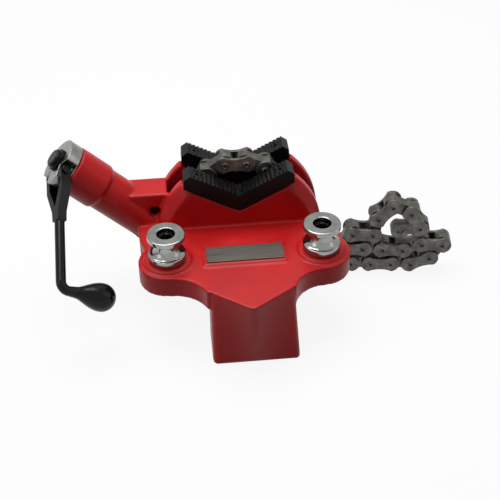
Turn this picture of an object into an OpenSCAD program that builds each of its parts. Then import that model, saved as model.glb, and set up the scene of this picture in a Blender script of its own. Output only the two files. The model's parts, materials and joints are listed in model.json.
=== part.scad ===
// Chain pipe vise. Millimetres, X right, Y back, Z up.
// The origin is on the bench, under the middle of the V.

/* [Base] */
// Height of the plate's top over the bench
plate_top = 75; // [70:1:90]
// Thickness of the plate
plate_t = 20; // [14:1:24]
// Distance from the middle to each spool, along X
spool_x = 67.8; // [64:0.2:76]
// Distance of the spools in front of the chain's plane
spool_y = 72; // [68:1:80]
// Radius of the round ear under each spool
ear_r = 25.8; // [23:0.2:27]
// Half width of the front block
block_w = 38.7; // [34:0.1:40]
// Distance of the front block's middle from the V's middle, to the right
block_x = 4.5; // [0:0.5:6]
// Distance from the chain's plane to the tip of the block's prow
prow_y = 145.5; // [138:0.5:152]
// Distance from the chain's plane to the block's front, at the bench
block_y = 129.5; // [126:0.5:134]

/* [Cheeks and jaws] */
// Radius of the two round cheeks
cheek_r = 75.5; // [72:0.5:78]
// Height of the cheeks' centre
cheek_z = 62.4; // [58:0.2:66]
// Gap between the cheeks, where the chain runs
slot_w = 22; // [20:0.5:24]
// Thickness of each cheek
cheek_t = 16.5; // [14:0.5:20]
// Width of the cone round each cheek's outer face
cheek_bevel = 9.5; // [4:0.5:12]
// Angle of each jaw face from the bench
jaw_angle = 28.4; // [26:0.2:32]
// Height of the V's lowest point
jaw_apex_z = 108.6; // [106:0.2:112]
// Half width of the V at its top
jaw_w = 42.8; // [40:0.2:44]
// Jaw thickness, straight down at the apex
jaw_t = 18; // [15:0.5:20]
// Jaw width along the pipe
jaw_d = 17.3; // [15:0.1:18]
// Teeth along each jaw face
teeth = 12; // [8:1:16]

/* [Screw and nut] */
// Angle of the screw from the bench
screw_angle = 43; // [40:1:46]
// Screw diameter
screw_d = 18; // [16:0.5:18]
// Thread pitch
thread_pitch = 4; // [3:0.5:5]
// Length of screw that stands out of the nut at rest
screw_out = 6; // [5:0.5:12]
// Diameter of the nut and of the barrel's head
barrel_d = 42.8; // [40:0.2:46]
// Length of the nut's body along the screw
nut_l = 11.5; // [11:0.5:18]

/* [Crank] */
// How far the nut stands turned toward the front at rest
crank_turned = 67.5; // [50:0.5:70]
// How far the folded arm leans back toward the barrel at rest
crank_folded = 19.3; // [12:0.1:20]
// Distance from the fold pivot to the grip's axis
crank_l = 108; // [90:0.5:115]
// Diameter of the round arm
arm_d = 8.8; // [8:0.2:10]
// Length of the teardrop grip
grip_l = 39; // [38:0.5:60]
// Largest diameter of the grip
grip_d = 25.4; // [22:0.2:28]

/* [Chain] */
// Distance from pin to pin
pitch = 19.05; // [19.05:0.01:19.1]
// Diameter of a plate's round end
end_d = 17.4; // [16:0.1:17.6]
// Plate height at its waist
waist = 12.2; // [10:0.2:14]
// Thickness of one plate
plate_th = 3.1; // [2.8:0.1:3.2]
// Pin diameter
pin_d = 6.8; // [6:0.1:7.2]
// Sideways turn of each hidden link, which leads the heap toward the front
yaw_step = 0.66; // [0:0.02:0.68]

/* [Spools] */
// Height of a spool over its boss
spool_h = 27; // [24:0.5:30]
// Diameter of a spool's flanges
spool_d = 33; // [30:0.5:36]
// Diameter of the bolt hole through spool and ear
bolt_d = 10.5; // [8.5:0.5:10.5]

/* [Hidden] */
$fn = 64;
// Fits: radial gaps of running pins, and the side gap between plates
run_gap = 0.08;
side_gap = 0.25;
near_gap = 0.35;

// Chain: the angle of each link from the bench, in degrees, from the screw's eye to the free end.
// Even links are outer links with pins, odd links are inner links.
link_angles = [
    -43, -28, 12, 64, 84, 50, 32,
    0,
    -22, -47, -76, -97, -99, -83, -53, -21, 0, 0,
    0, 0, 0, 22, 55, 179, 200, 178, 178, 179, 62, -2, 77, 47, -24, -61, -166
];
link_count = len(link_angles);
v_link = 8;
yawed_links = 10;
pack_w = 5 * plate_th + 4 * side_gap;
rivet_h = 1.2;

function yaw(i) = yaw_step * max(0, min(yawed_links, i - v_link));
function link_step(i) =
    let (a = link_angles[i - 1], y = yaw(i))
    pitch * [cos(a) * cos(y), -cos(a) * sin(y), sin(a)];
function pin_at(i) = i == 0 ? eye : pin_at(i - 1) + link_step(i);
function two_digits(i) = i < 10 ? str("0", i) : str(i);
function link_name(i) = str("chain_link_", two_digits(i));

// Screw axis: a point on it, distances along it from there, and the parts set on it
axis_foot = [-4.2, 0, -4.5];
eye_s = 130;
barrel_end = 198;
washer_t = 1.2;
washer_r = 18;
nut_s = barrel_end + washer_t + 0.05;
nut_face = nut_s + nut_l;
head_l = 32;
barrel_r = barrel_d / 2;
neck_r = barrel_r - 1.8;
screw_r = screw_d / 2;
bore_r = 13;
spigot_r = 14;
spigot_l = 12;
eye = axis_foot + eye_s * [-cos(screw_angle), 0, sin(screw_angle)];
groove_d = 2.2;
groove_w = 4.2;
key_s = 174;
screw_travel = 4 * thread_pitch;
retainer_s = barrel_end - 6.5;
retainer_r = 1.8;
retainer_groove = 1.8;

// Crank: pivot place and fork
pivot_u = 13.3;
pivot_s = nut_s + 6.5;
pivot_r = 3;
flat_w = 7.4;
tongue_u = 16.5;
tongue_r = 8.6;
tine_t = 4.5;
tine_h = 9.6;
fork_l = 36;
bend_r = 7.5;
stem_r = 3.4;
ferrule_l = 14;
grip_gap = 0.6;

// Base
shoulder_y = -119;
tip_x = 0.9;
wall_lean = [0.7, 4.7];
block_back = -88;
rear_x = 72;
pad_t = 2;
name_w = 67.9;
name_d = 20.8;
name_t = 1.2;
name_y = -72;
boss_r = 20.8;
boss_h = 2.5;
spigot_h = 8;
spool_spigot_r = 8.6;
arm_top = 104.5;
arm_w = 28;
arm_left = -103;
slot_left = -64;
floor_z = 86;
pedestal = [-58, 26, 27.5];
jaw_seat = 0.15;
jaw_front = slot_w / 2 + jaw_d;
guide_at = [-76.5, 86.4];
guide_r = 4.5;
guide_hole = 5.4;
jaw_screw_x = 36.5;
jaw_screw_r = 2.5;

module on_screw_axis(s = 0) {
    translate(axis_foot)
        rotate([0, screw_angle - 90, 0])
            rotate([0, 0, 180])
                translate([0, 0, s]) children();
}

module on_nut(s = 0) {
    on_screw_axis(s) rotate([0, 0, crank_turned]) children();
}

module on_crank() {
    on_nut(pivot_s) translate([pivot_u, 0, 0]) rotate([0, crank_folded, 0]) children();
}

module along_y(l) {
    rotate([90, 0, 0]) linear_extrude(l, center = true) children();
}

module y_cylinder(x, z, r, l) {
    translate([x, 0, z]) rotate([90, 0, 0]) cylinder(r = r, h = l, center = true);
}

// Base casting

// A fillet circle that touches the ear on its own side and the block's wall
module ear_fillet(side, wall_x, r) {
    x = wall_x + side * r;
    y = -spool_y - sqrt(pow(ear_r + r, 2) - pow(x - side * spool_x, 2));
    translate([x, y]) circle(r = r, $fn = 96);
}

module plate_outline() {
    out_x = 88;
    difference() {
        union() {
            for (side = [-1, 1])
                translate([side * spool_x, -spool_y]) circle(r = ear_r, $fn = 96);
            polygon([
                [-92, 20], [-92, -38], [-out_x, -52], [-out_x, -spool_y], [-spool_x, -spool_y],
                [-spool_x, shoulder_y], [spool_x, shoulder_y], [spool_x, -spool_y],
                [out_x, -spool_y], [out_x, -50], [rear_x, -27], [rear_x, 20]
            ]);
        }
        ear_fillet(-1, block_x - block_w + wall_lean[0], 34);
        ear_fillet(1, block_x + block_w - wall_lean[1], 30);
    }
}

function blend(p, q, t) = p * (1 - t) + q * t;
function bow(p, q, r, t) = blend(blend(p, q, t), blend(q, r, t), t);
function toward(p, q, l) = p + l * (q - p) / norm(q - p);

// The front block's outline at one height, from its left wall round the front to its right wall
function front_edge(left, right, tip, corner, tip_round) =
    let (
        back = [0, corner],
        left_in = toward(left, tip, corner),
        right_in = toward(right, tip, corner),
        tip_left = toward(tip, left, tip_round),
        tip_right = toward(tip, right, tip_round)
    )
    concat(
        [[left[0], block_back]],
        [for (k = [0:5]) bow(left + back, left, left_in, k / 5)],
        [for (k = [1:7]) blend(left_in, tip_left, k / 8)],
        [for (k = [0:6]) bow(tip_left, tip, tip_right, k / 6)],
        [for (k = [1:7]) blend(tip_right, right_in, k / 8)],
        [for (k = [0:5]) bow(right_in, right, right + back, k / 5)],
        [[right[0], block_back]]
    );

// Straight across at the bench, pointed at the top, and drawn smoothly from one to the other
module front_block() {
    levels = 12;
    left = block_x - block_w;
    right = block_x + block_w;
    low = front_edge([left, -block_y], [right, -block_y], [block_x, -block_y - 0.01], 6, 4);
    high = front_edge([left + wall_lean[0], shoulder_y], [right - wall_lean[1], shoulder_y],
                      [tip_x, -prow_y], 4, 5);
    count = len(low);
    polyhedron(
        points = [
            for (j = [0:levels], i = [0:count - 1])
                let (p = blend(low[i], high[i], j / levels))
                [p[0], p[1], plate_top * j / levels]
        ],
        faces = concat(
            [[for (i = [0:count - 1]) i]],
            [[for (i = [count - 1:-1:0]) levels * count + i]],
            [
                for (j = [0:levels - 1], i = [0:count - 1], half = [0, 1])
                    let (a = j * count, n = (i + 1) % count)
                    half == 0 ? [a + i, a + count + i, a + count + n] : [a + i, a + count + n, a + n]
            ]
        )
    );
}

module cheek() {
    rim_t = cheek_t - 8;
    translate([0, -slot_w / 2, cheek_z]) rotate([90, 0, 0]) {
        cylinder(r = cheek_r, h = rim_t, $fn = 128);
        translate([0, 0, rim_t])
            cylinder(r1 = cheek_r, r2 = cheek_r - cheek_bevel, h = cheek_t - rim_t, $fn = 128);
    }
}

module barrel() {
    on_screw_axis() {
        translate([0, 0, 84]) cylinder(r = neck_r, h = barrel_end - head_l - 84);
        translate([0, 0, barrel_end - head_l - 2])
            cylinder(r1 = neck_r, r2 = barrel_r, h = 2);
        translate([0, 0, barrel_end - head_l]) cylinder(r = barrel_r, h = head_l);
    }
}

module arm_web() {
    along_y(arm_w)
        polygon([
            [arm_left, arm_top], [slot_left, arm_top], [slot_left + 6, 60], [pedestal[0] + 4, 30],
            [-72, 36], [-88, 50], [-104, 70], [-116, 92]
        ]);
}

module chain_cavity() {
    inner_w = pack_w + 2.6;
    along_y(inner_w)
        polygon([
            [-98, 68], [-84, 56], [-72, 49.5], [-46, 51], [-32, 68], [-26, 90],
            [slot_left + 1, 99], [-84, 97.5], [-94, 97]
        ]);
    along_y(slot_w)
        polygon([
            [slot_left, 99], [slot_left, 140], [90, 140], [90, -1], [pedestal[1], -1],
            [pedestal[1], floor_z - 8], [pedestal[1] - 8, floor_z], [-30, floor_z]
        ]);
}

module jaw_seats() {
    rise = tan(jaw_angle);
    low = jaw_apex_z - jaw_t - jaw_seat;
    far = 80;
    for (side = [-1, 1])
        translate([0, side * (slot_w / 2 + 20 - 0.5), 0]) along_y(40)
            polygon([[0, low], [far, low + far * rise], [far, 190], [-far, 190], [-far, low + far * rise]]);
}

module jaw_screw_places() {
    for (side = [-1, 1], across = [-1, 1])
        translate([side * jaw_screw_x, across * (slot_w / 2 + jaw_d / 2 - 0.4),
                   jaw_apex_z + jaw_screw_x * tan(jaw_angle)])
            rotate([0, side * -jaw_angle, 0]) children();
}

module base_casting() {
    color("#a81c1f") difference() {
        union() {
            translate([0, 0, plate_top - plate_t]) linear_extrude(plate_t) plate_outline();
            front_block();
            intersection() {
                union() {
                    cheek();
                    mirror([0, 1, 0]) cheek();
                }
                translate([-100, -50, plate_top - plate_t]) cube([200, 100, 120]);
            }
            // web between the cheeks, and the pedestal under them
            translate([pedestal[0], -slot_w / 2 - 1, plate_top - plate_t])
                cube([pedestal[1] - pedestal[0], slot_w + 2, floor_z - plate_top + plate_t]);
            translate([pedestal[0], -pedestal[2], 0])
                cube([pedestal[1] - pedestal[0], 2 * pedestal[2], plate_top - 1]);
            arm_web();
            barrel();
            for (side = [-1, 1])
                translate([side * spool_x, -spool_y, plate_top - 1]) cylinder(r = boss_r, h = boss_h + 1);
            translate([-name_w / 2 - 2, name_y - name_d / 2 - 2, plate_top - 1])
                cube([name_w + 4, name_d + 4, pad_t + 1]);
        }
        jaw_seats();
        chain_cavity();
        on_screw_axis() {
            translate([0, 0, 112]) cylinder(r = bore_r, h = 100);
            translate([0, 0, barrel_end - spigot_l - 1]) cylinder(r = spigot_r + run_gap, h = 40);
            translate([0, 0, key_s]) rotate([0, 90, 0]) cylinder(r = 2.05, h = 40);
            translate([0, 0, retainer_s]) rotate([0, 90, 0]) cylinder(r = retainer_r + 0.05, h = 40);
        }
        y_cylinder(guide_at[0], guide_at[1], guide_r, arm_w - 6);
        for (side = [-1, 1])
            translate([0, side * arm_w / 2, 0]) y_cylinder(guide_at[0], guide_at[1], guide_hole, 6);
        for (side = [-1, 1])
            translate([side * spool_x, -spool_y, 0]) {
                cylinder(d = bolt_d, h = 200);
                translate([0, 0, plate_top + boss_h - spigot_h - 0.3])
                    cylinder(r = spool_spigot_r + run_gap, h = 40);
            }
        jaw_screw_places() translate([0, 0, -34]) cylinder(r = jaw_screw_r, h = 40);
        translate([0, 0, -100]) cube([400, 400, 200], center = true);
    }
}

// Jaws

module jaw_profile() {
    rise = tan(jaw_angle);
    run = jaw_w / teeth;
    depth = 1.3;
    bottom = jaw_apex_z - jaw_t;
    end_x = jaw_w + 6.8;
    difference() {
        polygon(concat(
            [[-end_x, bottom + end_x * rise + 1], [-end_x + 0.6, jaw_apex_z + end_x * rise - 8]],
            [[-jaw_w, jaw_apex_z + jaw_w * rise]],
            [for (k = [teeth - 1:-1:0], half = [0, 1])
                let (x = run * (k + (half == 0 ? 0.85 : 0.15)), drop = half == 0 ? depth : 0)
                [-x, jaw_apex_z + x * rise - drop]],
            [[0, jaw_apex_z]],
            [for (k = [0:teeth - 1], half = [0, 1])
                let (x = run * (k + (half == 0 ? 0.15 : 0.85)), drop = half == 0 ? 0 : depth)
                [x, jaw_apex_z + x * rise - drop]],
            [[jaw_w, jaw_apex_z + jaw_w * rise]],
            [[end_x - 0.6, jaw_apex_z + end_x * rise - 8], [end_x, bottom + end_x * rise + 1]],
            [[5, bottom + 5 * rise], [0, bottom + 1], [-5, bottom + 5 * rise]]
        ));
        translate([0, jaw_apex_z]) square([1.2, 3], center = true);
    }
}

module jaw(side) {
    color("#141415") difference() {
        translate([0, side * (slot_w / 2 + jaw_d / 2), 0]) along_y(jaw_d) jaw_profile();
        jaw_screw_places() {
            translate([0, 0, -40]) cylinder(r = jaw_screw_r + 0.1, h = 80);
            translate([0, 0, -3.2]) cylinder(r = 4.4, h = 20);
        }
    }
}

module front_jaw() {
    jaw(-1);
}

module rear_jaw() {
    jaw(1);
}

module jaw_screws() {
    color("#2b2b2c") jaw_screw_places() {
        translate([0, 0, -31]) cylinder(r = jaw_screw_r - 0.02, h = 28);
        translate([0, 0, -3.2]) difference() {
            cylinder(r = 4.2, h = 2.4);
            translate([0, 0, 0.8]) cylinder(r = 2, h = 3, $fn = 6);
        }
    }
}

module name_plate() {
    color("#55534f") translate([-name_w / 2, name_y - name_d / 2, plate_top + pad_t])
        cube([name_w, name_d, name_t]);
}

// Spools

module spool(side) {
    r = spool_d / 2;
    neck = 9.4;
    head_seat_r = 8;
    head_seat_l = 14;
    groove_z = spool_h * 0.61;
    rim_low = 7.2;
    rim_high = spool_h - 5;
    color("#b9bcbd") translate([side * spool_x, -spool_y, plate_top + boss_h])
        difference() {
            rotate_extrude($fn = 96) difference() {
                polygon(concat(
                    [[0, 0], [r - 0.8, 0], [r, 0.8], [r, rim_low - 0.8]],
                    [for (k = [0:5]) bow([r - 0.8, rim_low], [neck + 0.4, rim_low + 2.2], [neck, groove_z], k / 5)],
                    [for (k = [1:4]) bow([neck, groove_z], [neck + 0.2, rim_high - 1.6], [r - 0.8, rim_high], k / 4)],
                    [[r, rim_high + 0.8], [r, spool_h - 1], [r - 1, spool_h], [0, spool_h]]
                ));
                square(0.001);
            }
            translate([0, 0, -1]) cylinder(d = bolt_d, h = spool_h + 2);
            translate([0, 0, spool_h - head_seat_l]) cylinder(r = head_seat_r, h = head_seat_l + 1);
        }
    color("#b9bcbd") translate([side * spool_x, -spool_y, plate_top + boss_h - spigot_h])
        difference() {
            cylinder(r = spool_spigot_r, h = spigot_h + 1);
            translate([0, 0, -1]) cylinder(d = bolt_d, h = spigot_h + 4);
        }
}

module left_spool() {
    spool(-1);
}

module right_spool() {
    spool(1);
}

// Screw and nut

module thrust_washer() {
    color("#8c8c86") on_screw_axis(barrel_end) difference() {
        cylinder(r = washer_r, h = washer_t);
        translate([0, 0, -1]) cylinder(r = spigot_r + run_gap, h = washer_t + 2);
    }
}

module nut_plan() {
    flat_from = pivot_u - tine_h / 2 - near_gap;
    difference() {
        union() {
            circle(r = barrel_r - 0.4, $fn = 96);
            translate([tongue_u, 0]) circle(r = tongue_r);
        }
        for (side = [-1, 1])
            translate([flat_from, side > 0 ? flat_w : -flat_w - 40]) square([40, 40]);
    }
}

module crank_nut() {
    color("#9a9c98") on_nut() difference() {
        union() {
            translate([0, 0, nut_s]) linear_extrude(nut_l) nut_plan();
            translate([0, 0, barrel_end - spigot_l]) cylinder(r = spigot_r, h = spigot_l + 3);
        }
        translate([0, 0, barrel_end - spigot_l - 1])
            cylinder(r = screw_r + run_gap, h = nut_l + spigot_l + 10);
        translate([0, 0, retainer_s - retainer_r - 0.2]) difference() {
            cylinder(r = spigot_r + 2, h = 2 * retainer_r + 0.4);
            translate([0, 0, -1]) cylinder(r = spigot_r - retainer_groove, h = 10);
        }
        translate([pivot_u, 0, pivot_s]) rotate([90, 0, 0])
            cylinder(r = pivot_r + 0.02, h = 60, center = true);
    }
}

module nut_retaining_screw() {
    inner = spigot_r - retainer_groove + 0.3;
    color("#3a3a3a") on_screw_axis(retainer_s) rotate([0, 90, 0])
        translate([0, 0, inner]) cylinder(r = retainer_r, h = barrel_r - inner - 1);
}

module screw_key() {
    inner = screw_r - groove_d + 0.4;
    color("#3a3a3a") on_screw_axis(key_s) rotate([0, 90, 0])
        translate([0, 0, inner]) cylinder(r = 2, h = barrel_r - inner - 1);
}

module chain_screw() {
    tip = nut_face + screw_out;
    shank = eye_s + 12;
    root = screw_r - 1.6;
    crest = thread_pitch * 0.42;
    thread_from = key_s + 8;
    collar_s = nut_face + near_gap;
    collar_r = screw_r + 1.5;
    turns = floor((nut_face - thread_from) / thread_pitch);
    eye_r = end_d / 2;
    fork_gap = 3 * plate_th + 4 * side_gap;
    color("#1b1b1c") difference() {
        union() {
            on_screw_axis() rotate_extrude() polygon(concat(
                [[0, shank], [screw_r, shank]],
                [for (k = [0:turns - 1], step = [0:3])
                    let (z = thread_from + k * thread_pitch)
                    [[screw_r, z], [root, z + 0.6], [root, z + 0.6 + thread_pitch - crest - 1.2],
                     [screw_r, z + thread_pitch - crest]][step]],
                [[screw_r, collar_s], [collar_r, collar_s], [collar_r, collar_s + 1.8],
                 [screw_r - 0.4, collar_s + 2.4], [screw_r - 0.4, tip - 1.2], [root, tip], [0, tip]]
            ));
            on_screw_axis(eye_s) along_y(pack_w) {
                circle(r = eye_r);
                translate([-eye_r, 0]) square([2 * eye_r, 14]);
            }
        }
        on_screw_axis(eye_s) translate([-20, -fork_gap / 2, -20]) cube([40, fork_gap, 20 + eye_r + 0.8]);
        y_cylinder(eye[0], eye[2], pin_d / 2, 40);
        on_screw_axis() translate([screw_r - groove_d, -groove_w / 2, key_s - screw_travel - 5])
            cube([10, groove_w, screw_travel + 10]);
    }
}

module chain_anchor_pin() {
    color("#3a3a3a") y_cylinder(eye[0], eye[2], pin_d / 2, pack_w);
}

module chain_guide_pin() {
    color("#3a3a3a") y_cylinder(guide_at[0], guide_at[1], guide_r - 0.02, arm_w - 6.4);
}

// Crank

module fork_plan() {
    inner = flat_w + near_gap;
    neck = arm_d / 2;
    straight = 15;
    for (side = [-1, 1]) scale([1, side]) polygon([
        [-9, inner], [straight, inner], [fork_l - 4, 0], [fork_l + 9, 0], [fork_l + 9, neck],
        [fork_l, neck + 0.6], [straight + 2, inner + tine_t], [-9, inner + tine_t]
    ]);
}

module crank_arm() {
    color("#17181a") on_crank() difference() {
        union() {
            intersection() {
                translate([0, 0, -tine_h / 2]) linear_extrude(tine_h) fork_plan();
                rotate([90, 0, 0]) linear_extrude(60, center = true) union() {
                    circle(d = tine_h);
                    polygon([[0, -tine_h / 2], [fork_l, -arm_d / 2], [60, -arm_d / 2],
                             [60, arm_d / 2], [fork_l, arm_d / 2], [0, tine_h / 2]]);
                }
            }
            translate([fork_l + 2, 0, 0]) rotate([0, 90, 0])
                cylinder(d = arm_d, h = crank_l - bend_r - fork_l - 2);
            translate([crank_l - bend_r, 0, -bend_r]) rotate([90, 0, 0])
                rotate_extrude(angle = 90) translate([bend_r, 0]) circle(d = arm_d);
            translate([crank_l, 0, -bend_r]) mirror([0, 0, 1])
                cylinder(d1 = arm_d, d2 = arm_d + 1.2, h = ferrule_l - bend_r);
            translate([crank_l, 0, -ferrule_l + 1]) mirror([0, 0, 1]) difference() {
                cylinder(r = stem_r, h = grip_l - 4);
                translate([0, 0, grip_l - 9]) difference() {
                    cylinder(r = stem_r + 1, h = 1.6);
                    cylinder(r = stem_r - 0.8, h = 1.6);
                }
            }
        }
        rotate([90, 0, 0]) cylinder(r = pivot_r + run_gap, h = 60, center = true);
    }
}

module crank_pivot_screws() {
    inner = 1.5;
    outer = flat_w + near_gap + tine_t + 0.5;
    color("#202122") on_nut(pivot_s) for (side = [-1, 1])
        translate([pivot_u, side * inner, 0]) rotate([side * -90, 0, 0]) {
            cylinder(r = pivot_r, h = outer - inner);
            translate([0, 0, outer - inner]) cylinder(r = pivot_r + 1.1, h = 1.4);
        }
}

module crank_grip() {
    neck_r = arm_d / 2 + 0.7;
    big_r = grip_d / 2;
    ball = grip_l - big_r;
    color("#101113") on_crank()
        translate([crank_l, 0, -ferrule_l - grip_gap + 0.3]) mirror([0, 0, 1]) difference() {
            union() {
                rotate_extrude($fn = 96) polygon(concat(
                    [[0, 0], [neck_r, 0]],
                    [for (t = [0:10:150])
                        let (along = 1 + (ball + 1) * t / 150)
                        [neck_r + (big_r - neck_r) * pow(sin(t * 0.6), 1.35), along]],
                    [for (t = [0:7.5:90]) [big_r * cos(t), ball + 2 + (big_r - 2) * sin(t)]]
                ));
            }
            translate([0, 0, -1]) cylinder(r = stem_r + run_gap, h = grip_l - 3);
            translate([0, 0, grip_l - 11]) cylinder(r = stem_r + 2, h = 4);
        }
}

module grip_retaining_ring() {
    color("#5a5a5a") on_crank() translate([crank_l, 0, -ferrule_l + 1]) mirror([0, 0, 1])
        translate([0, 0, grip_l - 8.8]) difference() {
            cylinder(r = stem_r + 1.5, h = 1.2);
            translate([0, 0, -1]) cylinder(r = stem_r - 0.7, h = 4);
        }
}

// Chain

module link_outline() {
    bow_r = 26;
    bow_z = waist / 2 + bow_r;
    difference() {
        union() {
            circle(d = end_d);
            translate([pitch, 0]) circle(d = end_d);
            translate([0, -end_d / 2]) square([pitch, end_d]);
        }
        for (side = [-1, 1])
            translate([pitch / 2, side * bow_z]) circle(r = bow_r, $fn = 96);
    }
}

module at_link(i) {
    translate(pin_at(i - 1)) rotate([0, 0, -yaw(i)]) rotate([0, -link_angles[i - 1], 0]) children();
}

module flat_plate(y) {
    translate([0, y + plate_th / 2, 0]) rotate([90, 0, 0]) linear_extrude(plate_th) link_outline();
}

module outer_link() {
    plate_y = pack_w / 2 - plate_th / 2;
    for (side = [-1, 1])
        flat_plate(side * plate_y);
    for (x = [0, pitch]) {
        y_cylinder(x, 0, pin_d / 2, pack_w);
        for (side = [-1, 1])
            translate([x, side * pack_w / 2, 0]) rotate([side * -90, 0, 0])
                cylinder(r1 = pin_d / 2, r2 = pin_d / 2 - 1.4, h = rivet_h);
    }
}

module inner_link() {
    difference() {
        union() {
            for (k = [-1:1])
                flat_plate(k * (plate_th + side_gap));
            for (x = [0, pitch])
                y_cylinder(x, 0, pin_d / 2 + 2, 3 * plate_th);
        }
        for (x = [0, pitch])
            y_cylinder(x, 0, pin_d / 2 + run_gap, 40);
    }
}

module chain_link(i) {
    color("#6f706a") at_link(i) {
        if (i % 2 == 0)
            outer_link();
        else
            inner_link();
    }
}

base_casting();
front_jaw();
rear_jaw();
jaw_screws();
name_plate();
left_spool();
right_spool();
thrust_washer();
crank_nut();
nut_retaining_screw();
screw_key();
chain_screw();
chain_anchor_pin();
chain_guide_pin();
crank_arm();
crank_pivot_screws();
crank_grip();
grip_retaining_ring();
for (i = [1:link_count])
    chain_link(i);
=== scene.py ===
import bpy
import json
import math
from mathutils import Matrix, Vector


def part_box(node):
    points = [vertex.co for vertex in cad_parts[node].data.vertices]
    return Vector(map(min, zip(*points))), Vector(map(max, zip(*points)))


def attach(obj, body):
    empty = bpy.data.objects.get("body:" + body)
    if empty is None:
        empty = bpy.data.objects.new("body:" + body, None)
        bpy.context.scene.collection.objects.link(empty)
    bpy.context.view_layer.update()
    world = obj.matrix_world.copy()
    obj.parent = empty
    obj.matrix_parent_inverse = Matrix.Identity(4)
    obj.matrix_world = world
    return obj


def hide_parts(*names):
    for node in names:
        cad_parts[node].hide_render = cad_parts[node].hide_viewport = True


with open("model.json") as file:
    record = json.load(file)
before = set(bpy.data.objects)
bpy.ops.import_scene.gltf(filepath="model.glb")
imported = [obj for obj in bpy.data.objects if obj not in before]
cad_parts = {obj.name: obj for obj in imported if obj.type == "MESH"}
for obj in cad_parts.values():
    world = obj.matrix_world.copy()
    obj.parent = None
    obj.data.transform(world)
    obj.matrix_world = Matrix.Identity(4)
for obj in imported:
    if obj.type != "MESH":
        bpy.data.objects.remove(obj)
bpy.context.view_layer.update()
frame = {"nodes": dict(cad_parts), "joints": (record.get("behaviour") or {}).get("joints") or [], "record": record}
millimetre = 0.001
print("frame loaded")


# camera

cameraLook = {
    "place": (-0.05947, -0.83227, 0.68441),
    "right": (0.99536, -0.09522, -0.01415),
    "up": (0.07017, 0.61706, 0.78378),
    "forward": (0.06590, 0.78113, -0.62088),
    "lens": 79.95,
    "sensor": 36.0,
    "nearest": 0.05,
    "farthest": 20.0,
}


def makeCamera():
    data = bpy.data.cameras.new("photoCamera")
    camera = bpy.data.objects.new("photoCamera", data)
    bpy.context.scene.collection.objects.link(camera)
    data.lens = cameraLook["lens"]
    data.sensor_width = cameraLook["sensor"]
    data.clip_start = cameraLook["nearest"]
    data.clip_end = cameraLook["farthest"]
    right = Vector(cameraLook["right"]).normalized()
    back = -Vector(cameraLook["forward"]).normalized()
    up = back.cross(right).normalized()
    turned = Matrix((right, up, back)).transposed().to_4x4()
    camera.matrix_world = Matrix.Translation(cameraLook["place"]) @ turned
    bpy.context.scene.camera = camera


makeCamera()
print("camera set")


# colours and nodes

def colour(hexText):
    # sRGB hex to the linear values that the shader wants
    parts = [int(hexText[i:i + 2], 16) / 255 for i in (1, 3, 5)]
    linear = [c / 12.92 if c <= 0.04045 else ((c + 0.055) / 1.055) ** 2.4 for c in parts]
    return (*linear, 1.0)


def grey(value):
    return (value, value, value, 1.0)


def addNode(tree, kind, settings=None, links=None):
    # one node, its settings (attributes or inputs) and what feeds it
    node = tree.nodes.new(kind)
    for key, value in (settings or {}).items():
        if isinstance(key, int) or key in node.inputs:
            node.inputs[key].default_value = value
        else:
            setattr(node, key, value)
    for key, source in (links or {}).items():
        tree.links.new(source, node.inputs[key])
    return node


def newMaterial(name):
    material = bpy.data.materials.new(name)
    material.use_nodes = True
    tree = material.node_tree
    shader = tree.nodes["Principled BSDF"]
    place = addNode(tree, "ShaderNodeTexCoord").outputs["Object"]
    return material, tree, shader, place


def noise(tree, place, sizeMm, detail=2.0, rough=0.5):
    # noise whose blotches are about sizeMm across
    return addNode(tree, "ShaderNodeTexNoise",
                   {"Scale": 1.0 / (sizeMm * millimetre), "Detail": detail, "Roughness": rough},
                   {"Vector": place}).outputs["Fac"]


def ramp(tree, source, stops):
    node = addNode(tree, "ShaderNodeValToRGB", None, {"Fac": source})
    node.color_ramp.elements[0].position = stops[0][0]
    node.color_ramp.elements[0].color = stops[0][1]
    node.color_ramp.elements[1].position = stops[-1][0]
    node.color_ramp.elements[1].color = stops[-1][1]
    for position, value in stops[1:-1]:
        node.color_ramp.elements.new(position).color = value
    return node.outputs["Color"]


def setGloss(tree, shader, source, low, high):
    # roughness that wanders between two values
    tree.links.new(ramp(tree, source, [(0.3, grey(low)), (0.7, grey(high))]), shader.inputs["Roughness"])


def bumpFrom(tree, height, depthMm, strength, below=None):
    links = {"Height": height}
    if below is not None:
        links["Normal"] = below
    return addNode(tree, "ShaderNodeBump", {"Distance": depthMm * millimetre, "Strength": strength},
                   links).outputs["Normal"]


def roundedEdge(tree, radiusMm):
    return addNode(tree, "ShaderNodeBevel",
                   {"samples": 6, "Radius": radiusMm * millimetre}).outputs["Normal"]


# materials

castPaintLook = {
    "main": "#C0181A", "worn": "#B41517", "light": "#C71C1D", "blotchMm": 38.0, "specular": 0.26,
    "roughness": (0.32, 0.44), "glossMm": 6.0, "edgeMm": 1.2,
    "waveMm": 14.0, "waveDepthMm": 0.35, "grainMm": 1.6, "grainDepthMm": 0.05,
}


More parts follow.
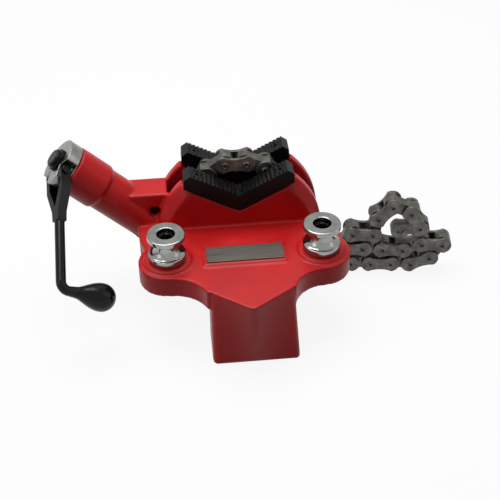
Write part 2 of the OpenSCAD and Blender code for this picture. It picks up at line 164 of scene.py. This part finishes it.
def makeCastPaint():
    # Red enamel sprayed on a sand casting: fairly glossy, over the casting's soft grain, with the
    # colour a little thinner and darker in places.
    look = castPaintLook
    material, tree, shader, place = newMaterial("red enamel on sand casting")
    tint = ramp(tree, noise(tree, place, look["blotchMm"], 3.0),
                [(0.32, colour(look["worn"])), (0.52, colour(look["main"])), (0.72, colour(look["light"]))])
    tree.links.new(tint, shader.inputs["Base Color"])
    setGloss(tree, shader, noise(tree, place, look["glossMm"], 4.0), *look["roughness"])
    edge = roundedEdge(tree, look["edgeMm"])
    wave = bumpFrom(tree, noise(tree, place, look["waveMm"], 2.0), look["waveDepthMm"], 0.6, edge)
    grain = bumpFrom(tree, noise(tree, place, look["grainMm"], 3.0, 0.6), look["grainDepthMm"], 0.7, wave)
    tree.links.new(grain, shader.inputs["Normal"])
    shader.inputs["Specular IOR Level"].default_value = look["specular"]
    return material


blackOxideLook = {
    "main": "#060505", "light": "#0C0B0B", "rubbed": "#232322", "mostRubbed": 0.6, "spotMm": 4.0,
    "specular": 0.13, "roughness": (0.26, 0.40), "glossMm": 2.2, "grainMm": 0.9, "grainDepthMm": 0.02,
}


def makeBlackOxide():
    # Hardened tool steel, black oxide: near black with a soft sheen, rubbed greyer on its high edges.
    look = blackOxideLook
    material, tree, shader, place = newMaterial("black oxide tool steel")
    dark = ramp(tree, noise(tree, place, look["spotMm"], 4.0),
                [(0.35, colour(look["main"])), (0.7, colour(look["light"]))])
    edge = addNode(tree, "ShaderNodeNewGeometry").outputs["Pointiness"]
    rubbed = ramp(tree, edge, [(0.53, grey(0.0)), (0.66, grey(look["mostRubbed"]))])
    mixed = addNode(tree, "ShaderNodeMix", {"data_type": "RGBA", 7: colour(look["rubbed"])},
                    {0: rubbed, 6: dark})
    tree.links.new(mixed.outputs[2], shader.inputs["Base Color"])
    shader.inputs["Specular IOR Level"].default_value = look["specular"]
    setGloss(tree, shader, noise(tree, place, look["glossMm"], 3.0), *look["roughness"])
    grain = bumpFrom(tree, noise(tree, place, look["grainMm"], 3.0), look["grainDepthMm"], 0.7)
    tree.links.new(grain, shader.inputs["Normal"])
    return material


chainSteelLook = {
    "main": "#615F5A", "dark": "#4B4945", "light": "#76736D", "blotchMm": 7.0, "metallic": 0.85,
    "roughness": (0.34, 0.46), "glossMm": 1.8, "grainMm": 0.9, "grainDepthMm": 0.010,
}


def makeChainSteel():
    # Punched and tumbled alloy steel plates with a thin oil film: warm grey, satin, mottled.
    look = chainSteelLook
    material, tree, shader, place = newMaterial("tumbled chain steel")
    tint = ramp(tree, noise(tree, place, look["blotchMm"], 3.0, 0.5),
                [(0.32, colour(look["dark"])), (0.55, colour(look["main"])), (0.75, colour(look["light"]))])
    tree.links.new(tint, shader.inputs["Base Color"])
    shader.inputs["Metallic"].default_value = look["metallic"]
    setGloss(tree, shader, noise(tree, place, look["glossMm"], 4.0), *look["roughness"])
    grain = bumpFrom(tree, noise(tree, place, look["grainMm"], 3.0), look["grainDepthMm"], 0.6)
    tree.links.new(grain, shader.inputs["Normal"])
    return material


# painted shade: the rivet cups' near-black colour stands in for the shade inside them
paintedCupShadeLook = {
    "main": "#0D0D0C", "light": "#1D1C1A", "blotchMm": 1.5, "roughness": 0.45, "specular": 0.25,
    "grainMm": 0.6, "grainDepthMm": 0.02,
}


def makePaintedCupShade():
    # The inside of a pressed rivet, painted nearly black for the shade that falls in the cup.
    look = paintedCupShadeLook
    material, tree, shader, place = newMaterial("rivet cup painted shade")
    tint = ramp(tree, noise(tree, place, look["blotchMm"], 3.0),
                [(0.35, colour(look["main"])), (0.7, colour(look["light"]))])
    tree.links.new(tint, shader.inputs["Base Color"])
    shader.inputs["Roughness"].default_value = look["roughness"]
    shader.inputs["Specular IOR Level"].default_value = look["specular"]
    grain = bumpFrom(tree, noise(tree, place, look["grainMm"], 2.0), look["grainDepthMm"], 0.6)
    tree.links.new(grain, shader.inputs["Normal"])
    return material


turnedLook = {
    "blotchMm": 9.0, "duller": 1.25, "brighter": 0.8, "grainMm": 0.8, "grainDepthMm": 0.003, "edgeMm": 0.5,
}
# Nickel plate, buffed: mirror bright, slightly grey.
spoolSteelLook = {"dark": "#8C8E8B", "light": "#A2A4A1", "roughness": 0.13, "patchMm": 7.0}
# Steel with clear zinc plate: bright, but satin.
nutSteelLook = {"dark": "#82847F", "light": "#9A9B96", "roughness": 0.26, "patchMm": 6.0}
# Plain oiled steel, as on screws and keys: dark and dull.
darkSteelLook = {"dark": "#3B3B3A", "light": "#555553", "roughness": 0.36, "patchMm": 1.0}


def makeTurnedSteel(name, look):
    # Steel turned on a lathe: smooth, with patches of duller and brighter sheen.
    material, tree, shader, place = newMaterial(name)
    tint = ramp(tree, noise(tree, place, turnedLook["blotchMm"], 3.0),
                [(0.3, colour(look["dark"])), (0.7, colour(look["light"]))])
    tree.links.new(tint, shader.inputs["Base Color"])
    shader.inputs["Metallic"].default_value = 1.0
    setGloss(tree, shader, noise(tree, place, look["patchMm"], 3.0),
             look["roughness"] * turnedLook["brighter"], look["roughness"] * turnedLook["duller"])
    grain = bumpFrom(tree, noise(tree, place, turnedLook["grainMm"], 2.0), turnedLook["grainDepthMm"], 0.6,
                     roundedEdge(tree, turnedLook["edgeMm"]))
    tree.links.new(grain, shader.inputs["Normal"])
    return material


blackEnamelLook = {
    "main": "#040405", "light": "#08090A", "blotchMm": 12.0, "roughness": (0.14, 0.26), "glossMm": 5.0,
    "specular": 0.22, "waveMm": 3.5, "waveDepthMm": 0.06,
}


def makeBlackEnamel():
    # Black enamel dipped over a forged handle: glossy, slightly wavy.
    look = blackEnamelLook
    material, tree, shader, place = newMaterial("black dipped enamel")
    tint = ramp(tree, noise(tree, place, look["blotchMm"], 3.0),
                [(0.35, colour(look["main"])), (0.7, colour(look["light"]))])
    tree.links.new(tint, shader.inputs["Base Color"])
    setGloss(tree, shader, noise(tree, place, look["glossMm"], 3.0), *look["roughness"])
    shader.inputs["Specular IOR Level"].default_value = look["specular"]
    wave = bumpFrom(tree, noise(tree, place, look["waveMm"], 2.0), look["waveDepthMm"], 0.7)
    tree.links.new(wave, shader.inputs["Normal"])
    return material


namePlateLook = {
    "main": "#4C4A45", "light": "#6A675F", "brushStretch": (0.03, 1.0, 1.0), "brushMm": 0.5,
    "brushDepthMm": 0.02, "metallic": 0.9, "roughness": (0.34, 0.5), "edgeMm": 0.3,
}


def makeNamePlateMetal():
    # Thin aluminium plate, brushed along its length and tinted dark.
    look = namePlateLook
    material, tree, shader, place = newMaterial("dark brushed aluminium")
    stretched = addNode(tree, "ShaderNodeMapping", {"Scale": look["brushStretch"]},
                        {"Vector": place}).outputs[0]
    brush = noise(tree, stretched, look["brushMm"], 4.0, 0.7)
    tint = ramp(tree, brush, [(0.3, colour(look["main"])), (0.7, colour(look["light"]))])
    tree.links.new(tint, shader.inputs["Base Color"])
    shader.inputs["Metallic"].default_value = look["metallic"]
    setGloss(tree, shader, brush, *look["roughness"])
    lines = bumpFrom(tree, brush, look["brushDepthMm"], 0.6, roundedEdge(tree, look["edgeMm"]))
    tree.links.new(lines, shader.inputs["Normal"])
    return material


castPaint = makeCastPaint()
blackOxide = makeBlackOxide()
chainSteel = makeChainSteel()
# painted shade for the rivet cups
paintedCupShade = makePaintedCupShade()
brightSteel = makeTurnedSteel("polished nickel plate", spoolSteelLook)
nutSteel = makeTurnedSteel("turned zinc steel", nutSteelLook)
darkSteel = makeTurnedSteel("oiled dark steel", darkSteelLook)
blackEnamel = makeBlackEnamel()
namePlateMetal = makeNamePlateMetal()
print("materials made")


# steps that the pieces share

edgeLook = {"mergeMetres": 0.000012, "flatDegrees": 0.6, "sharpDegrees": 32.0, "smoothDegrees": 38.0}
bodyOf = {node: body for body, nodes in frame["record"]["behaviour"]["bodies"].items() for node in nodes}


def selectOnly(piece):
    bpy.ops.object.select_all(action="DESELECT")
    piece.select_set(True)
    bpy.context.view_layer.objects.active = piece


def finishModifiers(piece):
    selectOnly(piece)
    for name in [modifier.name for modifier in piece.modifiers]:
        bpy.ops.object.modifier_apply(modifier=name)


def cleanFaces(piece, flatDegrees=edgeLook["flatDegrees"]):
    # joins the loose triangles, and turns flat groups of them into one face each
    selectOnly(piece)
    bpy.ops.object.mode_set(mode="EDIT")
    bpy.ops.mesh.select_all(action="SELECT")
    bpy.ops.mesh.remove_doubles(threshold=edgeLook["mergeMetres"])
    bpy.ops.mesh.dissolve_limited(angle_limit=math.radians(flatDegrees))
    bpy.ops.object.mode_set(mode="OBJECT")


def copyNode(nodeName, pieceName):
    mesh = frame["nodes"][nodeName].data.copy()
    mesh.name = pieceName
    piece = bpy.data.objects.new(pieceName, mesh)
    bpy.context.scene.collection.objects.link(piece)
    return piece


def roundEdges(piece, widthMm, segments=2):
    bevel = piece.modifiers.new("edge", "BEVEL")
    bevel.width = widthMm * millimetre
    bevel.segments = segments
    bevel.limit_method = "ANGLE"
    bevel.angle_limit = math.radians(edgeLook["sharpDegrees"])
    bevel.use_clamp_overlap = True
    finishModifiers(piece)
    bpy.ops.object.shade_smooth_by_angle(angle=math.radians(edgeLook["smoothDegrees"]))
    normals = piece.modifiers.new("even", "WEIGHTED_NORMAL")
    normals.keep_sharp = True
    finishModifiers(piece)


def putOn(piece, material, body, slot, *nodes):
    piece.data.materials.clear()
    piece.data.materials.append(material)
    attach(piece, body)
    if nodes:
        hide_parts(*nodes)


# the red casting: softened all over, as sand casting leaves it

castingLook = {"flatDegrees": 0.1, "voxelMm": 1.15, "softness": 0.5, "softPasses": 5, "mostFaces": 190000}


def makeCasting():
    piece = copyNode("base_casting", "castBody")
    cleanFaces(piece, castingLook["flatDegrees"])
    remesh = piece.modifiers.new("skin", "REMESH")
    remesh.mode = "VOXEL"
    remesh.voxel_size = castingLook["voxelMm"] * millimetre
    remesh.use_smooth_shade = True
    soft = piece.modifiers.new("soften", "SMOOTH")
    soft.factor = castingLook["softness"]
    soft.iterations = castingLook["softPasses"]
    finishModifiers(piece)
    faces = sum(len(face.vertices) - 2 for face in piece.data.polygons)
    if faces > castingLook["mostFaces"]:
        thin = piece.modifiers.new("thin", "DECIMATE")
        thin.ratio = castingLook["mostFaces"] / faces
        finishModifiers(piece)
    bpy.ops.object.shade_smooth()
    putOn(piece, castPaint, "root", "cast_paint", "base_casting")
    print("casting made,", faces, "triangles before thinning")


makeCasting()


# hard pieces that keep the CAD shape, with their edges broken as on the real ones

edgeBreaks = {  # material, slot, width of the broken edge in mm
    "front_jaw": (blackOxide, "jaw_steel", 0.55), "rear_jaw": (blackOxide, "jaw_steel", 0.55),
    "jaw_screws": (blackOxide, "dark_steel", 0.25), "name_plate": (namePlateMetal, "plate_metal", 0.3),
    "crank_nut": (nutSteel, "nut_steel", 0.45), "thrust_washer": (nutSteel, "nut_steel", 0.2),
    "chain_screw": (blackOxide, "black_steel", 0.25), "crank_arm": (blackEnamel, "crank_black", 1.3),
    "crank_pivot_screws": (blackEnamel, "dark_steel", 0.4),
}
wideBreakMm = 0.5  # a break wider than this is rounded more finely
plainPieces = {  # small pieces shown as they come from CAD
    "nut_retaining_screw": darkSteel, "screw_key": darkSteel, "chain_anchor_pin": darkSteel,
    "chain_guide_pin": blackOxide, "grip_retaining_ring": darkSteel,
}


def makeHardPieces():
    for node, (material, slot, width) in edgeBreaks.items():
        piece = copyNode(node, node + "_finished")
        cleanFaces(piece)
        roundEdges(piece, width, 3 if width > wideBreakMm else 2)
        putOn(piece, material, bodyOf[node], slot, node)
    for node, material in plainPieces.items():
        data = frame["nodes"][node].data
        data.materials.clear()
        data.materials.append(material)


makeHardPieces()
print("jaws, nut, screw and crank made")


# chain: every plate's rim is broken, as punching and tumbling leave it

linkLook = {
    "flatDegrees": 0.3, "rimMm": 0.42, "pastPlatesMm": 8.65, "squareOn": 0.9,
    "cupRimMm": 0.3, "cupDepthMm": 0.7,
}


def cupRivets(piece, axis, foot):
    # each rivet's end stands past the outer plates; it is pressed in, and its cup is painted dark as shade
    selectOnly(piece)
    # the cup faces get the painted shade material
    piece.data.materials.append(paintedCupShade)
    for face in piece.data.polygons:
        out = (face.center - foot).dot(axis) / millimetre
        endOn = abs(face.normal.dot(axis)) > linkLook["squareOn"]
        face.select = abs(out) > linkLook["pastPlatesMm"] and endOn
    bpy.ops.object.mode_set(mode="EDIT")
    bpy.ops.mesh.select_mode(type="FACE")
    bpy.ops.mesh.inset(thickness=linkLook["cupRimMm"] * millimetre,
                       depth=-linkLook["cupDepthMm"] * millimetre)
    bpy.context.object.active_material_index = 1
    bpy.ops.object.material_slot_assign()
    bpy.ops.object.mode_set(mode="OBJECT")


def makeLinks():
    hinges = {joint["child"]: joint for joint in frame["joints"]}
    for node in sorted(name for name in frame["nodes"] if name.startswith("chain_link_")):
        piece = copyNode(node, node + "_finished")
        cleanFaces(piece, linkLook["flatDegrees"])
        putOn(piece, chainSteel, bodyOf[node], "chain_steel", node)
        hinge = hinges[bodyOf[node]]
        if int(node[-2:]) % 2 == 0:  # the outer links hold the rivets
            cupRivets(piece, Vector(hinge["axis"]).normalized(), Vector(hinge["pos_m"]))
        roundEdges(piece, linkLook["rimMm"])


makeLinks()
print("chain made")


# spools and grip: turned on a lathe

turningLook = {"mergeMetres": 0.000005, "smoothDegrees": 40}


def turnPiece(name, profileMm, place, toward, steps):
    # spins a profile of (radius, height) round the Z axis, then stands it at its place
    mesh = bpy.data.meshes.new(name)
    piece = bpy.data.objects.new(name, mesh)
    bpy.context.scene.collection.objects.link(piece)
    mesh.from_pydata([(r * millimetre, 0.0, z * millimetre) for r, z in profileMm],
                     [(i, i + 1) for i in range(len(profileMm) - 1)], [])
    selectOnly(piece)
    bpy.ops.object.mode_set(mode="EDIT")
    bpy.ops.mesh.select_all(action="SELECT")
    bpy.ops.mesh.spin(steps=steps, angle=2 * math.pi, center=(0, 0, 0), axis=(0, 0, 1))
    bpy.ops.mesh.select_all(action="SELECT")
    bpy.ops.mesh.remove_doubles(threshold=turningLook["mergeMetres"])
    bpy.ops.mesh.normals_make_consistent(inside=False)
    bpy.ops.object.mode_set(mode="OBJECT")
    stand = Vector(toward).to_track_quat("Z", "Y").to_matrix().to_4x4()
    mesh.transform(Matrix.Translation(place) @ stand)
    selectOnly(piece)
    bpy.ops.object.shade_smooth_by_angle(angle=math.radians(turningLook["smoothDegrees"]))
    return piece


def arcPoints(centre, radius, start, end, count):
    return [(centre[0] + radius * math.cos(math.radians(start + (end - start) * k / count)),
             centre[1] + radius * math.sin(math.radians(start + (end - start) * k / count)))
            for k in range(count + 1)]


def curvePoints(p, q, r, count):
    # a smooth bend from p to r, drawn toward q
    points = []
    for k in range(count + 1):
        t = k / count
        points.append(tuple((1 - t) ** 2 * p[i] + 2 * t * (1 - t) * q[i] + t * t * r[i] for i in (0, 1)))
    return points


spoolLook = {
    "radius": 16.5, "height": 27.0, "neck": 9.4, "neckHeight": 16.5, "lowRim": 7.2, "highRim": 22.0,
    "bore": 8.0, "boreDepth": 14.0, "boltHole": 5.25, "spigot": 8.55, "spigotDepth": 8.0,
    "edge": 0.9, "softEdge": 0.7, "boreEdge": 0.5, "seatGap": 0.02, "steps": 96,
}


def spoolProfile():
    look = spoolLook
    r, top, neck = look["radius"], look["height"], look["neck"]
    edge, soft, boreEdge = look["edge"], look["softEdge"], look["boreEdge"]
    lowRim, highRim, waist = look["lowRim"], look["highRim"], (neck, look["neckHeight"])
    points = [(look["boltHole"], -look["spigotDepth"]), (look["spigot"], -look["spigotDepth"]),
              (look["spigot"], look["seatGap"]), (r - soft, look["seatGap"])]
    points += arcPoints((r - soft, soft + look["seatGap"]), soft, -90, 0, 3)
    points += arcPoints((r - edge, lowRim - edge), edge, 0, 80, 4)
    # the V groove: down from the low rim to the neck, and up again to the high one
    points += curvePoints((r - edge - 0.5, lowRim + 0.05), (neck + 0.3, lowRim + 2.6), waist, 12)
    points += curvePoints(waist, (neck + 0.2, highRim - 1.2), (r - 1.1, highRim), 8)[1:]
    points += arcPoints((r - soft, highRim + 0.75), soft, -70, 0, 3)
    points += arcPoints((r - edge, top - edge), edge, 0, 90, 4)
    points += arcPoints((look["bore"] + boreEdge, top - boreEdge), boreEdge, 90, 180, 3)
    points += [(look["bore"], top - look["boreDepth"]), (look["boltHole"], top - look["boreDepth"]),
               (look["boltHole"], -look["spigotDepth"])]
    return points


def makeSpools():
    for side in ("left", "right"):
        low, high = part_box(side + "_spool")
        middle = (low + high) / 2
        foot = high.z - spoolLook["height"] * millimetre
        piece = turnPiece(side + "_spool_turned", spoolProfile(), (middle.x, middle.y, foot), (0, 0, 1),
                          spoolLook["steps"])
        putOn(piece, brightSteel, bodyOf[side + "_spool"], "bright_steel", side + "_spool")


makeSpools()

gripLook = {
    "length": 39.0, "radius": 12.7, "neck": 5.1, "bore": 3.5, "ballCentre": 26.3, "edge": 0.5,
    "swellFrom": 1.0, "swell": 1.35, "endWall": 4.5, "swellPoints": 28, "ballPoints": 18, "steps": 72,
}


def makeGrip():
    # its axis comes from the joint that it turns on
    spin = next(joint for joint in frame["joints"] if joint["name"] == "grip_spin")
    away = -Vector(spin["axis"]).normalized()
    foot = Vector(spin["pos_m"])
    look = gripLook
    length, big, neck, edge = look["length"], look["radius"], look["neck"], look["edge"]
    centre, start = look["ballCentre"], look["swellFrom"]
    inner = length - look["endWall"]
    points = [(0.0, inner), (look["bore"], inner), (look["bore"], 0.0), (neck - edge, 0.0)]
    points += arcPoints((neck - edge, edge), edge, -90, 0, 3)
    for k in range(1, look["swellPoints"] + 1):
        t = k / look["swellPoints"]
        points.append((neck + (big - neck) * math.sin(math.pi / 2 * t) ** look["swell"],
                       start + (centre - start) * t))
    for k in range(1, look["ballPoints"] + 1):
        angle = math.pi / 2 * k / look["ballPoints"]
        points.append((max(0.0, big * math.cos(angle)), centre + (length - centre) * math.sin(angle)))
    points[-1] = (0.0, length)  # on the axis, so that the end closes
    piece = turnPiece("gripTurned", points, foot, away, look["steps"])
    putOn(piece, blackEnamel, "grip", "crank_black", "crank_grip")


makeGrip()
print("spools and grip made")


# floor and light

stageLook = {
    "floorSize": 12.0, "floorHeight": -0.0004, "floorColour": "#F4F4F4", "bounceColour": "#6E6E6E",
    "floorGlow": 0.90, "floorRoughness": 0.9, "floorSpecular": 0.1,
    "worldColour": "#FFFFFF", "worldStrength": 0.13,
}
lampLook = {  # place, target, size and power
    "topSoftbox": ((-0.15, 0.25, 1.35), (0, -0.03, 0.05), (1.2, 0.9), 18.5),
    "leftSoftbox": ((-1.2, -0.5, 0.8), (0, -0.03, 0.08), (0.7, 0.9), 2.0),
    "rightSoftbox": ((1.2, -0.3, 0.7), (0, -0.03, 0.08), (0.6, 0.9), 1.0),
}


def seenDirectly(tree):
    # 1 for what the camera sees, also in a mirror or through glass, and 0 for light that bounces
    path = addNode(tree, "ShaderNodeLightPath")
    seen = addNode(tree, "ShaderNodeMath", {"operation": "MAXIMUM"},
                   {0: path.outputs["Is Camera Ray"], 1: path.outputs["Is Glossy Ray"]})
    return addNode(tree, "ShaderNodeMath", {"operation": "MAXIMUM"},
                   {0: seen.outputs[0], 1: path.outputs["Is Transmission Ray"]}).outputs[0]


def makeFloor():
    bpy.ops.object.select_all(action="DESELECT")
    bpy.ops.mesh.primitive_plane_add(size=stageLook["floorSize"], location=(0, 0, stageLook["floorHeight"]))
    floor = bpy.context.object
    floor.name = "floor"
    material = bpy.data.materials.new("pale floor")
    material.use_nodes = True
    tree = material.node_tree
    shader = tree.nodes["Principled BSDF"]
    shader.inputs["Roughness"].default_value = stageLook["floorRoughness"]
    shader.inputs["Specular IOR Level"].default_value = stageLook["floorSpecular"]
    seen = seenDirectly(tree)
    tint = addNode(tree, "ShaderNodeMix", {"data_type": "RGBA", 6: colour(stageLook["bounceColour"]),
                                           7: colour(stageLook["floorColour"])}, {0: seen})
    tree.links.new(tint.outputs[2], shader.inputs["Base Color"])
    share = addNode(tree, "ShaderNodeMath", {"operation": "MULTIPLY", 1: stageLook["floorGlow"]}, {0: seen})
    white = addNode(tree, "ShaderNodeEmission", {"Strength": 1.0})
    mixed = addNode(tree, "ShaderNodeMixShader", None,
                    {0: share.outputs[0], 1: shader.outputs[0], 2: white.outputs[0]})
    tree.links.new(mixed.outputs[0], tree.nodes["Material Output"].inputs["Surface"])
    floor.data.materials.append(material)


def addLamp(name, place, target, size, power):
    data = bpy.data.lights.new(name, "AREA")
    data.shape = "RECTANGLE"
    data.size, data.size_y = size
    data.energy = power
    lamp = bpy.data.objects.new(name, data)
    bpy.context.scene.collection.objects.link(lamp)
    aim = (Vector(target) - Vector(place)).to_track_quat("-Z", "Y")
    lamp.matrix_world = Matrix.Translation(place) @ aim.to_matrix().to_4x4()


def makeWorld():
    # dim for what it lights, white for what the camera sees of it
    scene = bpy.context.scene
    if scene.world is None:
        scene.world = bpy.data.worlds.new("studio")
    scene.world.use_nodes = True
    tree = scene.world.node_tree
    backdrop = tree.nodes["Background"]
    backdrop.inputs["Color"].default_value = colour(stageLook["worldColour"])
    backdrop.inputs["Strength"].default_value = stageLook["worldStrength"]
    white = addNode(tree, "ShaderNodeBackground", {"Strength": 1.0})
    mixed = addNode(tree, "ShaderNodeMixShader", None,
                    {0: seenDirectly(tree), 1: backdrop.outputs[0], 2: white.outputs[0]})
    tree.links.new(mixed.outputs[0], tree.nodes["World Output"].inputs["Surface"])


makeFloor()
for lampName, lampValues in lampLook.items():
    addLamp(lampName, *lampValues)
makeWorld()
bpy.context.scene.view_settings.view_transform = "Standard"
print("floor and lamps set")
